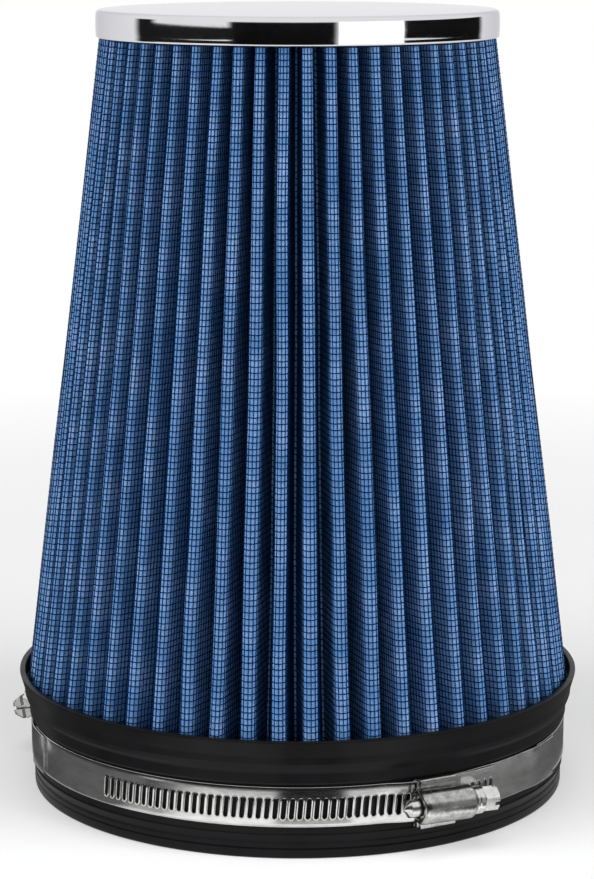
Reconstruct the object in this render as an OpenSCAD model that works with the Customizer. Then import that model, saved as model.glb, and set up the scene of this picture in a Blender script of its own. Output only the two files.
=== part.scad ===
/* [Filter element] */
// Height of the pleated element between its seat and the top potting
element_h = 198; // [150:1:240]
// Diameter over the outer screen at the bottom of the element
element_base_d = 168; // [160:0.5:176]
// Number of pleats round the element
pleats = 56; // [44:1:60]
// Turn of the first pleat from the front
pleat_phase = 2.7; // [0:0.1:6.4]
// Radial depth of a fold at the bottom, over both screens
fold_depth_base = 15.5; // [12:0.5:18]
// Radial depth of a fold at the top, over both screens
fold_depth_top = 12.5; // [10:0.5:14]
// Width of a pleat crest at the bottom, over the cloth
crest_w_base = 4.2; // [3.2:0.1:4.8]
// Width of a pleat crest at the top, over the cloth
crest_w_top = 3; // [3:0.1:3.4]
// Width of the groove between pleats, at the middle of the cloth
groove_w = 2; // [2:0.1:2.6]
// Thickness of the folded cloth
cloth_t = 1; // [0.6:0.05:1]
// Thickness of each wire screen
screen_t = 0.3; // [0.15:0.05:0.3]
// Space between the cloth and each screen
screen_gap = 0.1; // [0.05:0.05:0.1]
// Height of the closed hem at each end of the outer screen
screen_hem = 6; // [3:0.5:12]
// Height of the band between the two rows of gaps in the outer screen
screen_band = 4; // [2:0.5:10]

/* [Top cap] */
// Outer diameter of the pressed cap
cap_d = 120.6; // [114:0.2:128]
// Height of the cap
cap_h = 8.1; // [6:0.1:14]
// Thickness of the cap's sheet
cap_t = 0.8; // [0.5:0.1:1.2]
// Outside radius of the cap's top corner
cap_corner_r = 1.4; // [1.3:0.1:3]
// How far the cap's skirt hangs below the potting
cap_overhang = 0.6; // [0.2:0.1:2]
// Space between the cap's skirt and the outer screen
cap_clearance = 0.15; // [0.1:0.05:0.4]

/* [Rubber base] */
// Diameter of the socket that the intake pipe fits in
bore_d = 152.4; // [140:0.1:158]
// Depth of the socket
bore_depth = 26; // [24:0.5:40]
// Thickness of the neck wall behind the clamp band
neck_wall = 6; // [4:0.1:8]
// Depth of the groove that holds the clamp band
groove_depth = 1.1; // [0.8:0.1:1.6]
// Thickness of the ledge that carries the element
ledge_t = 5.5; // [4:0.1:9]
// How far the ledge reaches inside the element
ledge_reach = 1.5; // [0.5:0.1:4]
// Height of the lip above the seat of the element
lip_h = 4.5; // [3:0.1:8]
// Thickness of the lip
lip_wall = 1.8; // [1.2:0.1:4]
// How far the lip flares out from the neck's shoulder to its top
lip_flare = 1.4; // [0.6:0.1:2]
// Space between the lip and the outer screen
lip_clearance = 0.35; // [0.1:0.05:0.8]
// Height of the round bead at the foot
bead_h = 4.6; // [3.5:0.1:6]
// Width of the fine line cut round the bead
bead_line_w = 0.5; // [0.3:0.1:0.8]

/* [Band clamp] */
// Width of the clamp band
band_w = 11.9; // [11:0.1:13]
// Thickness of the clamp band
band_t = 0.7; // [0.5:0.05:0.9]
// Height of the middle of the band above the foot
band_z = 15.7; // [14.5:0.1:17]
// Space above and below the clamp in the neck's groove
groove_play = 0.08; // [0.05:0.01:0.3]
// Distance between the slots of the band
slot_pitch = 2.4; // [2.2:0.05:2.8]
// Width of a slot
slot_w = 1.25; // [1.1:0.05:1.4]
// Length of a slot
slot_l = 6; // [4.5:0.1:7]
// Lean of the slots, which follows the worm
slot_lean = 5; // [3:0.5:7]
// How far the slots lie below the middle of the band
slot_drop = 0.5; // [0:0.1:0.8]
// Slots before the middle of the housing
slots_before = 43; // [20:1:46]
// Slots past the middle of the housing
slots_past = 8; // [5:1:9]
// Plain end of the band past its last slot
band_end = 3; // [1.2:0.1:4]
// Radius of the corners at the end of the band
band_corner_r = 2.4; // [1:0.1:4]
// Turn of the front housing from the front
front_turn = 28.5; // [20:0.5:45]
// Turn of the rear housing from the front
rear_turn = -112.5; // [-130:0.5:-105]
// How far round from the front housing its strap reaches over the rear slotted band
front_strap_turn = 38.5; // [36:0.5:50]
// How far round from the rear housing its strap reaches over the front slotted band
rear_strap_turn = 46; // [38:0.5:50]
// Turn over which a short strap lies on the start of the band
lap_turn = 7.5; // [4:0.5:10]
// Space between straps that lie on each other
lap_gap = 0.05; // [0.02:0.01:0.1]

/* [Worm housing] */
// Length of the worm housing
housing_l = 17.4; // [17:0.1:24]
// Thickness of the housing and of the saddle
plate_t = 0.6; // [0.4:0.05:0.8]
// How far the housing's middle lies below the band's middle
housing_drop = 0.8; // [0.3:0.1:1.2]
// Lean of the front screw and its shell across the band, head end down
front_lean = 2; // [-3:0.5:3]
// Lean of the rear screw and its shell across the band, head end down
rear_lean = -2; // [-3:0.5:3]
// Radius of the rounded ends of the housing's shell
shell_end_r = 1.2; // [0.6:0.1:1.4]
// Length of the flanges beside the shell
flange_l = 14.6; // [13:0.1:15]
// Space between the band and the housing above it
skirt_gap = 0.1; // [0.05:0.05:0.2]
// Length of the saddle along the band
saddle_l = 12.6; // [8:0.1:15]
// How far the saddle's middle lies behind the housing's middle
saddle_shift = 0.6; // [0:0.1:3]
// Space between the saddle and the parts that it folds over
cheek_gap = 0.07; // [0.05:0.01:0.15]
// Width of the tabs that the saddle folds over the flanges
tab_w = 1.9; // [1.5:0.1:2.4]

/* [Worm screw] */
// Diameter over the worm's turns
worm_d = 8.3; // [7.8:0.1:8.8]
// Depth of the worm's turns
turn_depth = 0.8; // [0.5:0.05:0.9]
// Width of a turn at its crest
turn_crest_w = 0.5; // [0.3:0.05:0.6]
// Diameter of the tip
tip_d = 5.2; // [4:0.1:6]
// Diameter of the opening round the tip
tip_opening_d = 7; // [6.4:0.1:7.4]
// Diameter of the journal under the head
head_journal_d = 6.2; // [5:0.1:6.4]
// Radial clearance of the journal in its wall
journal_clearance = 0.08; // [0.03:0.01:0.1]
// Space between the screw and the housing, across the worm and along it
screw_play = 0.3; // [0.2:0.05:0.4]
// Length of the tip outside the housing
tip_l = 5; // [3:0.1:6]
// Length of the cone at the end of the tip
tip_cone_l = 1.8; // [1:0.1:2.6]
// Diameter of the collar under the head
collar_d = 8.2; // [7.8:0.1:8.4]
// Length of the collar
collar_l = 3.1; // [1:0.1:4]
// Distance across the flats of the head
head_flats = 7; // [6:0.1:7.2]
// Length of the head
head_l = 4.9; // [3.4:0.1:6]
// Turn of the head's corners and driver slots
head_turn = 12; // [0:1:59]
// Width of the driver slots in the head
driver_w = 1.1; // [0.8:0.05:1.4]
// Depth of the driver slots
driver_depth = 1.8; // [1:0.1:2.8]

/* [Hidden] */
$fn = 96;

// Heights from the foot upwards
seat_z = bore_depth + ledge_t;
potting_z = seat_z + element_h;
cap_z = potting_z - cap_overhang;
cap_top_z = cap_z + cap_h;
lip_top_z = seat_z + lip_h;

// Radii of the element and of what closes on it
element_base_r = element_base_d / 2;
element_top_r = cap_d / 2 - cap_t - cap_clearance;
stack_half = cloth_t / 2 + screen_gap + screen_t;
groove_r = groove_w / 2;
half_pitch = 180 / pleats;
lip_inner_r = element_base_r + lip_clearance;
lip_outer_r = lip_inner_r + lip_wall;
bore_r = bore_d / 2;
ledge_inner_r = min(element_base_r - fold_depth_base, bore_r) - ledge_reach;

// Radii of the neck and of the straps stacked on it, each radius being a strap's inner face
neck_groove_r = bore_r + neck_wall;
neck_r = neck_groove_r + groove_depth;
layer_t = band_t + lap_gap;
strap_low_r = neck_groove_r;
strap_lap_r = strap_low_r + layer_t;
strap_saddle_r = neck_groove_r + plate_t + lap_gap;
band_saddle_r = strap_saddle_r + layer_t;
band_top_r = band_saddle_r + band_t;

// The worm lies over the band, with its turns in the slots; _y values are distances from the axis
worm_r = worm_d / 2;
worm_root_r = worm_r - turn_depth;
turn_flank = 0.4;
worm_y = band_top_r + worm_root_r + screw_play;
shell_inner_r = worm_r + screw_play;
shell_r = shell_inner_r + plate_t;
skirt_y = band_top_r + skirt_gap;
tab_y = skirt_y + plate_t + cheek_gap;
wall_x = housing_l / 2 - plate_t;
worm_half_l = wall_x - screw_play;
collar_x = housing_l / 2 + screw_play;
head_x = collar_x + collar_l;
screw_end_x = head_x + head_l;
housing_z = band_z - housing_drop;
flange_half_w = band_w / 2 + housing_drop;
saddle_half_w = flange_half_w + cheek_gap + plate_t;
end_bevel = 0.5;
groove_low_z = housing_z - saddle_half_w - groove_play;
groove_high_z = housing_z + saddle_half_w + groove_play;

// Turns along the band, from the middle of its own housing
mm_per_turn = band_saddle_r * PI / 180;
slot_turn = slot_pitch / mm_per_turn;
ramp_turn = 6;
step_gap_turn = 0.5;
strip_step = 2;
saddle_half_turn = saddle_l / 2 / mm_per_turn;
saddle_middle_turn = -saddle_shift / mm_per_turn;
strap_start_turn = saddle_half_turn - saddle_middle_turn + step_gap_turn;
band_end_turn = slots_past * slot_turn + (slot_w / 2 + band_end) / mm_per_turn;
rise_turn = strap_start_turn + step_gap_turn;
front_start_turn = rear_turn + rear_strap_turn - lap_turn;
rear_start_turn = front_turn + front_strap_turn - lap_turn;

function mix(a, b, t) = a + (b - a) * t;

function arc(centre, r, from, to, steps) =
    [for (k = [0:steps]) centre + r * [cos(mix(from, to, k / steps)), sin(mix(from, to, k / steps))]];

// Fold section at height fraction t, drawn about the crest's middle plane: radii of the bends,
// their centres, and the lean of the flank that is tangent to both
function crest_r(t) = mix(crest_w_base, crest_w_top, t) / 2 - cloth_t / 2;
function over_r(t) = mix(element_base_r, element_top_r, t);
function crest_centre(t) = [0, over_r(t) - stack_half - crest_r(t)];
function groove_centre(t) =
    (over_r(t) - mix(fold_depth_base, fold_depth_top, t) + stack_half + groove_r)
    * [sin(half_pitch), cos(half_pitch)];
function flank_lean(t) =
    let (span = groove_centre(t) - crest_centre(t))
    atan2(span[0], -span[1]) - asin((crest_r(t) + groove_r) / norm(span));

// A point on the crest or in the groove at turn a, offset by e from the middle of the cloth
function on_crest(a, e, t) = crest_centre(t) + (crest_r(t) + e) * [sin(a), cos(a)];
function in_groove(a, e, t) = groove_centre(t) - (groove_r - e) * [sin(a), cos(a)];
function mirrored(p) = [-p[0], p[1]];

// Fold lines of one pleat, counted round from the end of its left groove to the next groove's floor
function fold_point(line, e, t) =
    let (turn = 90 - flank_lean(t))
    line == 0 ? mirrored(in_groove(turn, e, t)) :
    line <= 5 ? on_crest((line - 3) * turn / 2, e, t) :
    line == 6 ? in_groove(turn, e, t) :
    in_groove(half_pitch, e, t);

function placed(p, pleat, t) =
    let (a = pleat_phase + pleat * 2 * half_pitch)
    [p[0] * cos(a) + p[1] * sin(a), p[0] * sin(a) - p[1] * cos(a), seat_z + t * element_h];

function quad(a, b, c, d) = [[a, b, c], [a, c, d]];
function joined(lists) = [for (list = lists) each list];
function sums(counts, n) = n == 0 ? 0 : counts[n - 1] + sums(counts, n - 1);

// Closed pleated wall between the offsets e_in and e_out. Each fold line has its own heights:
// two of them, or more where it borders a column of gaps
module pleated_wall(lines, heights, e_in, e_out) {
    counts = [for (h = heights) len(h)];
    n = len(lines);
    last = [for (c = counts) c - 1];
    per_pleat = sums(counts, n);
    function id(side, pleat, line, level) =
        (side * pleats + (pleat + floor(line / n)) % pleats) * per_pleat
        + sums(counts, line % n) + level;
    function outward(side, tri) = side == 0 ? tri : [tri[2], tri[1], tri[0]];
    function strip(side, p, a) =
        let (b = a + 1, ka = last[a], kb = last[b % n])
        ka > 1 && kb > 1 ?
            joined([for (k = [0:2:ka])
                quad(id(side, p, a, k), id(side, p, a, k + 1), id(side, p, b, k + 1), id(side, p, b, k))]) :
        ka > 1 ?
            concat([for (k = [0:ka - 1]) [id(side, p, b, 0), id(side, p, a, k), id(side, p, a, k + 1)]],
                [[id(side, p, b, 0), id(side, p, a, ka), id(side, p, b, 1)]]) :
            concat([for (k = [0:kb - 1]) [id(side, p, a, 0), id(side, p, b, k + 1), id(side, p, b, k)]],
                [[id(side, p, a, 0), id(side, p, a, 1), id(side, p, b, kb)]]);
    function across(p, a, ka, kb) =
        quad(id(0, p, a, ka), id(0, p, a + 1, kb), id(1, p, a + 1, kb), id(1, p, a, ka));
    function flipped(tris) = [for (tri = tris) [tri[2], tri[1], tri[0]]];
    gap_strips = [for (a = [0:n - 1]) if (last[a] > 1 && last[(a + 1) % n] > 1) a];
    jambs = len(gap_strips) == 0 ? [] : [gap_strips[0], gap_strips[len(gap_strips) - 1] + 1];
    gap_levels = len(jambs) == 0 ? [] : [for (k = [1:2:last[jambs[0]] - 2]) k];
    function jamb(p, a, k) = quad(id(0, p, a, k), id(0, p, a, k + 1), id(1, p, a, k + 1), id(1, p, a, k));
    polyhedron(
        points = [for (e = [e_out, e_in], p = [0:pleats - 1], l = [0:n - 1], t = heights[l])
            placed(fold_point(lines[l], e, t), p, t)],
        faces = [
            for (side = [0, 1], p = [0:pleats - 1], a = [0:n - 1], tri = strip(side, p, a))
                outward(side, tri),
            for (p = [0:pleats - 1], a = [0:n - 1], tri = across(p, a, 0, 0)) tri,
            for (p = [0:pleats - 1], a = [0:n - 1], tri = flipped(across(p, a, last[a], last[(a + 1) % n])))
                tri,
            for (p = [0:pleats - 1], a = gap_strips, k = gap_levels, tri = flipped(across(p, a, k, k))) tri,
            for (p = [0:pleats - 1], a = gap_strips, k = gap_levels, tri = across(p, a, k + 1, k + 1)) tri,
            for (p = [0:pleats - 1], k = gap_levels, tri = jamb(p, jambs[0], k)) tri,
            for (p = [0:pleats - 1], k = gap_levels, tri = flipped(jamb(p, jambs[1], k))) tri
        ]
    );
}

// The cloth has every fold line
module filter_media() {
    lines = [0:7];
    color("royalblue")
    pleated_wall([for (l = lines) l], [for (l = lines) [0, 1]], -cloth_t / 2, cloth_t / 2);
}

// The outer screen shows the crests through two rows of gaps, one pair to a pleat
module outer_screen() {
    hem = screen_hem / element_h;
    band = screen_band / element_h / 2;
    gaps = [0, hem, 0.5 - band, 0.5 + band, 1 - hem, 1];
    ends = [0, 1];
    near = cloth_t / 2 + screen_gap;
    color("black")
    pleated_wall([1, 2, 3, 4, 5, 7], [ends, gaps, gaps, gaps, ends, ends], near, near + screen_t);
}

// The inner screen lines the grooves, which are its outer bends
module inner_screen() {
    lines = [0, 3, 6, 7];
    near = cloth_t / 2 + screen_gap;
    color("dimgray")
    pleated_wall(lines, [for (l = lines) [0, 1]], -near - screen_t, -near);
}

// Pressed cup with a rounded top corner and a rounded rim
module top_cap() {
    r = cap_d / 2;
    inner_corner_r = cap_corner_r - cap_t;
    rim_r = cap_t / 2;
    color("silver")
    rotate_extrude()
    polygon(concat(
        [[0, cap_top_z - cap_t]],
        arc([r - cap_corner_r, cap_top_z - cap_corner_r], inner_corner_r, 90, 0, 6),
        arc([r - rim_r, cap_z + rim_r], rim_r, -180, 0, 8),
        arc([r - cap_corner_r, cap_top_z - cap_corner_r], cap_corner_r, 0, 90, 8),
        [[0, cap_top_z]]
    ));
}

// Potting that fills the cap and holds the upper ends of the pleats
module top_potting() {
    r = cap_d / 2 - cap_t;
    bevel = cap_corner_r - cap_t;
    top = cap_top_z - cap_t;
    color("black")
    rotate_extrude()
    polygon([[0, potting_z], [r, potting_z], [r, top - bevel], [r - bevel, top], [0, top]]);
}

// One moulding: foot bead, neck with the band's groove, ledge under the element, and lip round it
module rubber_base() {
    foot_r = neck_groove_r - 0.15;
    foot_corner = 1.2;
    bevel = 0.3;
    line_z = bead_h * 0.65;
    shoulder_z = groove_high_z + (seat_z - groove_high_z) * 0.45;
    shoulder_r = lip_outer_r - lip_flare;
    lip_round = lip_wall / 2;
    lip_round_z = lip_top_z - lip_round;
    color("black")
    rotate_extrude()
    polygon(concat(
        [[bore_r, 0]],
        arc([foot_r - foot_corner, foot_corner], foot_corner, -90, 0, 6),
        [
            [foot_r, line_z - bead_line_w / 2],
            [foot_r - bead_line_w, line_z],
            [foot_r, line_z + bead_line_w / 2],
            [foot_r, bead_h],
            [foot_r - bevel, bead_h + bevel],
            [neck_groove_r + bevel, groove_low_z - bevel],
            [neck_groove_r + bevel, groove_low_z],
            [neck_groove_r, groove_low_z],
            [neck_groove_r, groove_high_z],
            [neck_r - bevel, groove_high_z],
            [neck_r, groove_high_z + bevel],
            [neck_r, shoulder_z - 2 * bevel],
            [mix(neck_r, shoulder_r, 0.3), shoulder_z - bevel],
            [mix(neck_r, shoulder_r, 0.8), shoulder_z + bevel],
            [shoulder_r, shoulder_z + 2 * bevel]
        ],
        arc([lip_outer_r - lip_round, lip_round_z], lip_round, -10, 180, 12),
        [
            [lip_inner_r, seat_z],
            [ledge_inner_r, seat_z],
            [ledge_inner_r, bore_depth],
            [bore_r, bore_depth]
        ]
    ));
}

// Radius of a strip's inner face at a turn; knots are [turn, radius] pairs in order, and the strip
// swings smoothly from one radius to the next
function strip_r(a, knots) =
    let (later = [for (i = [1:len(knots) - 1]) if (a <= knots[i][0]) i])
    len(later) == 0 ? knots[len(knots) - 1][1] :
    let (
        low = knots[later[0] - 1],
        high = knots[later[0]],
        t = (a - low[0]) / (high[0] - low[0])
    )
    mix(low[1], high[1], t * t * (3 - 2 * t));

// Strip that follows its knots in short flats, which lie tangent to the radii
module strip(knots) {
    from = knots[0][0];
    to = knots[len(knots) - 1][0];
    steps = ceil((to - from) / strip_step);
    flat = 1 / cos((to - from) / steps / 2);
    function at(k, extra) =
        let (a = mix(from, to, k / steps))
        (strip_r(a, knots) + extra) * flat * [sin(a), -cos(a)];
    translate([0, 0, -band_w / 2])
    linear_extrude(band_w)
    polygon(concat([for (k = [0:steps]) at(k, 0)], [for (k = [steps:-1:0]) at(k, band_t)]));
}

// Round-ended slot cut through a strip, leaning with the worm
module slot() {
    straight = slot_l - slot_w;
    depth = 6 * band_t;
    translate([0, -band_saddle_r, -slot_drop])
    rotate([90, slot_lean, 0]) {
        translate([-slot_w / 2, -straight / 2, -depth])
        cube([slot_w, straight, 2 * depth]);
        for (side = [-1, 1])
        translate([0, side * straight / 2, -depth])
        cylinder(d = slot_w, h = 2 * depth, $fn = 24);
    }
}

// Waste outside the two rounded corners at the end of a band
module end_corners() {
    depth = 4 * band_t;
    r = band_corner_r;
    for (side = [-1, 1])
    translate([0, -band_saddle_r, side * (band_w / 2 - r)])
    rotate([90, 0, 0])
    translate([0, 0, -depth])
    difference() {
        translate([-r, side > 0 ? 0 : -2 * r, 0])
        cube([2 * r, 2 * r, 2 * depth]);
        translate([-r, 0, -1])
        cylinder(r = r, h = 2 * depth + 2);
    }
}

// Long band: starts on the neck, climbs over the next short strap and runs on under the worm
module band(start, housing) {
    rise = housing - rise_turn;
    finish = housing + band_end_turn;
    translate([0, 0, band_z])
    difference() {
        strip([
            [start, strap_low_r],
            [rise - ramp_turn, strap_low_r],
            [rise, band_saddle_r],
            [finish, band_saddle_r]
        ]);
        for (k = [-slots_before:slots_past])
        rotate([0, 0, housing + k * slot_turn])
        slot();
        rotate([0, 0, finish])
        end_corners();
    }
}

// Short strap: on the saddle under the worm, down on the neck, and up over the start of the next band
module strap(housing, cover) {
    drop = housing + strap_start_turn;
    lap = housing + cover - lap_turn - step_gap_turn;
    translate([0, 0, band_z])
    strip([
        [housing - strap_start_turn, strap_saddle_r],
        [drop, strap_saddle_r],
        [drop + ramp_turn, strap_low_r],
        [lap - ramp_turn, strap_low_r],
        [lap, strap_lap_r],
        [housing + cover, strap_lap_r]
    ]);
}

// Places a part drawn at the front, with the housing's middle at zero height
module at_turn(turn) {
    translate([0, 0, housing_z])
    rotate([0, 0, turn])
    children();
}

// Plate square to the radius at the front: from side to side, from inner_y outwards, and over +-half_l
module plate(from, to, inner_y, height, half_l) {
    translate([-half_l, -inner_y - height, from])
    cube([2 * half_l, height, to - from]);
}

// Saddle: a plate under the strap, with a cheek at each side that folds over the housing's flange
module saddle(turn) {
    cheek_half_l = saddle_l / 2 - end_bevel;
    foot_y = neck_groove_r + plate_t / 4;
    at_turn(turn) {
        rotate([0, 0, saddle_middle_turn - saddle_half_turn - 90])
        rotate_extrude(angle = 2 * saddle_half_turn)
        translate([neck_groove_r, -saddle_half_w])
        square([plate_t, 2 * saddle_half_w]);
        for (side = [0, 1])
        mirror([0, 0, side])
        translate([-saddle_shift, 0, 0]) {
            plate(saddle_half_w - plate_t, saddle_half_w, foot_y, tab_y + plate_t - foot_y, cheek_half_l);
            plate(saddle_half_w - tab_w, saddle_half_w, tab_y, plate_t, cheek_half_l);
        }
    }
}

// Worm housing: a round shell with rounded ends, open to the band, between two flanges
module housing(turn, lean) {
    half = housing_l / 2;
    corner_r = shell_r - shell_end_r;
    corner_x = half - shell_end_r;
    at_turn(turn)
    difference() {
        union() {
            along_screw(lean)
            rotate_extrude()
            polygon(concat(
                [[0, -half]],
                arc([corner_r, -corner_x], shell_end_r, -90, 0, 8),
                arc([corner_r, corner_x], shell_end_r, 0, 90, 8),
                [[0, half]]
            ));
            plate(-flange_half_w, flange_half_w, skirt_y, plate_t, flange_l / 2);
        }
        plate(-2 * shell_r, 2 * shell_r, skirt_y - 2 * shell_r, 2 * shell_r, housing_l);
        along_screw(lean) {
            cylinder(r = shell_inner_r, h = 2 * wall_x, center = true);
            translate([0, 0, -housing_l])
            cylinder(d = tip_opening_d, h = housing_l);
            cylinder(d = head_journal_d + 2 * journal_clearance, h = housing_l);
        }
    }
}

// Places a part drawn about the z axis, head end up, on the leaning axis of the screw
module along_screw(lean) {
    translate([0, -worm_y, 0])
    rotate([0, lean, 0])
    rotate([90, 0, 90])
    children();
}

// Worm screw: pointed tip, worm, journal, collar and hexagon head
module screw(turn, lean) {
    turns = floor((worm_half_l - turn_crest_w) / slot_pitch);
    turn_foot = turn_crest_w / 2 + turn_depth * turn_flank;
    tip_x = -housing_l / 2 - tip_l;
    tip_point_r = 0.4;
    head_root = 0.5;
    at_turn(turn)
    along_screw(lean)
    difference() {
        union() {
            rotate_extrude()
            polygon(concat(
                [[0, tip_x], [tip_point_r, tip_x], [tip_d / 2, tip_x + tip_cone_l], [tip_d / 2, -worm_half_l]],
                [[worm_root_r, -worm_half_l]],
                [for (k = [-turns:turns], p = [
                    [worm_root_r, -turn_foot], [worm_r, -turn_crest_w / 2],
                    [worm_r, turn_crest_w / 2], [worm_root_r, turn_foot]
                ]) p + [0, k * slot_pitch]],
                [[worm_root_r, worm_half_l], [head_journal_d / 2, worm_half_l]],
                [[head_journal_d / 2, collar_x], [collar_d / 2, collar_x], [collar_d / 2, head_x]],
                [[0, head_x]]
            ));
            translate([0, 0, head_x - head_root])
            intersection() {
                rotate([0, 0, head_turn])
                cylinder(d = head_flats / cos(30), h = head_l + head_root, $fn = 6);
                cylinder(
                    r1 = head_flats / 2 + head_l + head_root, r2 = head_flats / 2,
                    h = head_l + head_root
                );
            }
        }
        for (a = [0, 90])
        rotate([0, 0, head_turn + a])
        translate([-driver_w / 2, -head_flats, screw_end_x - driver_depth])
        cube([driver_w, 2 * head_flats, 2 * driver_depth]);
    }
}

module band_front() {
    color("lightgray") band(front_start_turn, front_turn);
}

module band_rear() {
    color("lightgray") band(rear_start_turn, rear_turn + 360);
}

module strap_front() {
    color("silver") strap(front_turn, front_strap_turn);
}

module strap_rear() {
    color("silver") strap(rear_turn, rear_strap_turn);
}

module saddle_front() {
    color("gainsboro") saddle(front_turn);
}

module saddle_rear() {
    color("gainsboro") saddle(rear_turn);
}

module housing_front() {
    color("gainsboro") housing(front_turn, front_lean);
}

module housing_rear() {
    color("gainsboro") housing(rear_turn, rear_lean);
}

module screw_front() {
    color("whitesmoke") screw(front_turn, front_lean);
}

module screw_rear() {
    color("whitesmoke") screw(rear_turn, rear_lean);
}

top_cap();
top_potting();
outer_screen();
filter_media();
inner_screen();
rubber_base();
band_front();
band_rear();
strap_front();
strap_rear();
saddle_front();
saddle_rear();
housing_front();
housing_rear();
screw_front();
screw_rear();
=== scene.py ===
"""Cone air filter: pleated blue gauze under black wire mesh, chrome cap, rubber neck, two-screw band clamp."""

import math

import bmesh
import bpy
import numpy as np
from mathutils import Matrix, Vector


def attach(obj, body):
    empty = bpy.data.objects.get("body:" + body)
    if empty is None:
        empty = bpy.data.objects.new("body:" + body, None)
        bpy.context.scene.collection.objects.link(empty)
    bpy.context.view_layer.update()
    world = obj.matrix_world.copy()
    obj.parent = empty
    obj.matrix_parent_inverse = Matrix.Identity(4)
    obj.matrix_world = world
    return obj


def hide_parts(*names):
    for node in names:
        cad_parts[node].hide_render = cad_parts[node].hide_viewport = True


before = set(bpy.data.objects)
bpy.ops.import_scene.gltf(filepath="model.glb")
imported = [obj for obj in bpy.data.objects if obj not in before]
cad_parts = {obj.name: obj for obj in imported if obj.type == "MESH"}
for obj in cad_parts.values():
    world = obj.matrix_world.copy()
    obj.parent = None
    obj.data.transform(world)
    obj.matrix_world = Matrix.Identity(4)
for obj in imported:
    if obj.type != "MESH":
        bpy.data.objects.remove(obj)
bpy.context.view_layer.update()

MM = 0.001

# Sizes of the part in millimetres, as in its source
ELEMENT_H, PLEATS, PHASE = 198.0, 56, 2.7
BASE_R, TOP_R = 84.0, 59.35
FOLD_BASE, FOLD_TOP = 15.5, 12.5
CREST_BASE, CREST_TOP, GROOVE_R = 1.6, 1.0, 1.0
STACK = 0.9
SEAT_Z, CAP_R, CAP_T, CAP_Z, CAP_TOP_Z = 31.5, 60.3, 0.8, 228.9, 237.0
HALF_PITCH = math.pi / PLEATS
BAND_W, BAND_T, BAND_Z, GROOVE_HALF_W = 11.9, 0.7, 15.7, 7.5
STRAP_LOW_R, STRAP_LAP_R, STRAP_SADDLE_R, BAND_SADDLE_R = 82.2, 82.95, 82.85, 83.6
SLOT_PITCH, SLOT_W, SLOT_L, SLOT_LEAN, SLOT_DROP = 2.4, 1.25, 6.0, 5.0, 0.5
SLOTS_BEFORE, SLOTS_PAST, BAND_END, CORNER_R = 43, 8, 3.0, 2.4
FRONT_TURN, REAR_TURN, LAP_TURN, RAMP_TURN, STEP_GAP = 28.5, -112.5, 7.5, 6.0, 0.5
FRONT_STRAP_TURN, REAR_STRAP_TURN = 38.5, 46.0
HOUSING_L, PLATE_T, HOUSING_Z, FRONT_LEAN, REAR_LEAN = 17.4, 0.6, 14.9, 2.0, -2.0
WORM_Y, WORM_R, ROOT_R, WORM_TURNS = 87.95, 4.15, 3.35, 3
TIP_L, COLLAR_GAP, COLLAR_L, HEAD_L, HEAD_FLATS, HEAD_TURN = 5.0, 0.3, 3.1, 4.9, 7.0, 12.0
SHELL_R, SHELL_IN_R, SHELL_END_R = 5.05, 4.45, 1.2
SKIRT_Y, TAB_Y, FLANGE_HALF_W, FLANGE_L = 84.4, 85.07, 6.75, 14.6
SADDLE_HALF_W, SADDLE_L, SADDLE_SHIFT, TAB_W = 7.42, 12.6, 0.6, 2.5
MM_PER_TURN = BAND_SADDLE_R * math.pi / 180

rng = np.random.default_rng(7)


# Meshes
def mix(a, b, t):
    return a + (b - a) * t


def make(name, verts, faces, slot, material, sharp, body="root", replaces=(), welded=False):
    """A piece from points in millimetres and faces, smooth but for edges over sharp degrees."""
    mesh = bpy.data.meshes.new(name)
    verts = np.asarray(verts, float) * MM
    if isinstance(faces, np.ndarray):
        n, k = faces.shape
        mesh.vertices.add(len(verts))
        mesh.vertices.foreach_set("co", verts.ravel())
        mesh.loops.add(n * k)
        mesh.loops.foreach_set("vertex_index", faces.ravel().astype(np.int32))
        mesh.polygons.add(n)
        mesh.polygons.foreach_set("loop_start", np.arange(0, n * k, k, dtype=np.int32))
        mesh.update(calc_edges=True)
    else:
        mesh.from_pydata(verts.tolist(), [], faces)
    mesh.validate()
    if welded:
        shape = bmesh.new()
        shape.from_mesh(mesh)
        bmesh.ops.remove_doubles(shape, verts=shape.verts, dist=0.003 * MM)
        bmesh.ops.recalc_face_normals(shape, faces=shape.faces)
        shape.to_mesh(mesh)
        shape.free()
    mesh.polygons.foreach_set("use_smooth", [True] * len(mesh.polygons))
    mesh.set_sharp_from_angle(angle=math.radians(sharp))
    obj = bpy.data.objects.new(name, mesh)
    bpy.context.scene.collection.objects.link(obj)
    mesh.materials.append(material)
    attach(obj, body)
    if replaces:
        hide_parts(*replaces)
    return obj


def grid_faces(rows, cols, wrap_cols=False, wrap_rows=False, flip=False):
    """Quads of a grid of rows x cols points, numbered along each row."""
    r = np.arange(rows if wrap_rows else rows - 1)
    c = np.arange(cols if wrap_cols else cols - 1)
    r, c = [a.ravel() for a in np.meshgrid(r, c, indexing="ij")]
    r1, c1 = (r + 1) % rows, (c + 1) % cols
    quads = np.stack([r * cols + c, r * cols + c1, r1 * cols + c1, r1 * cols + c], axis=1)
    return quads[:, ::-1] if flip else quads


def revolve(profile, steps):
    """Closed profile of (radius, z) points, turned about the z axis."""
    profile = np.asarray(profile, float)
    a = np.arange(steps) * 2 * math.pi / steps
    r, z = profile[:, 0], profile[:, 1]
    x = np.outer(np.cos(a), r)
    y = np.outer(np.sin(a), r)
    verts = np.stack([x, y, np.broadcast_to(z, x.shape)], axis=2).reshape(-1, 3)
    return verts, grid_faces(steps, len(profile), wrap_cols=True, wrap_rows=True, flip=True)


def arc(cx, cy, r, a0, a1, steps):
    a = np.radians(np.linspace(a0, a1, steps + 1))
    return np.stack([cx + r * np.cos(a), cy + r * np.sin(a)], axis=1)


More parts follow.
